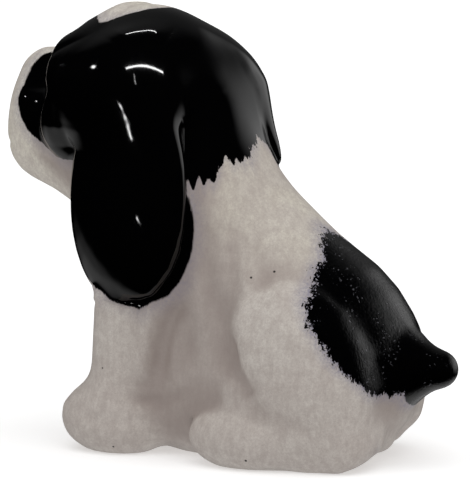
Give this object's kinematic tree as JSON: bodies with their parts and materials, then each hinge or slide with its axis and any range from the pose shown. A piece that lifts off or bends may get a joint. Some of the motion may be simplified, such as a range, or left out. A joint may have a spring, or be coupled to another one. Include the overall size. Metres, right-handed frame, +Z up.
{
  "type": "ceramic puppy figurine",
  "caption": "Seated long-eared puppy figurine with its head turned aside, hollow cast ceramic with a flat resting base.",
  "frame": {"origin": "centre of the outer box, at the height of the base", "axes": "+Z up from the base, -Y the way the body faces, +X the puppy's own left side"},
  "size_m": [0.0328, 0.0708, 0.0609],
  "materials": {
    "white_glaze": "satin",
    "black_glaze": "gloss",
    "painted_body_glaze": "satin",
    "painted_head_glaze": "gloss"
  },
  "bodies": {
    "root": {"torso": "painted_body_glaze", "head": "painted_head_glaze", "nose": "black_glaze", "left_eye": "black_glaze", "right_eye": "black_glaze", "left_ear": "black_glaze", "right_ear": "black_glaze", "left_foreleg": "white_glaze", "right_foreleg": "white_glaze", "left_haunch": "painted_body_glaze", "right_haunch": "painted_body_glaze", "left_hind_paw": "white_glaze", "right_hind_paw": "white_glaze", "tail": "black_glaze"}
  },
  "joints": []
}
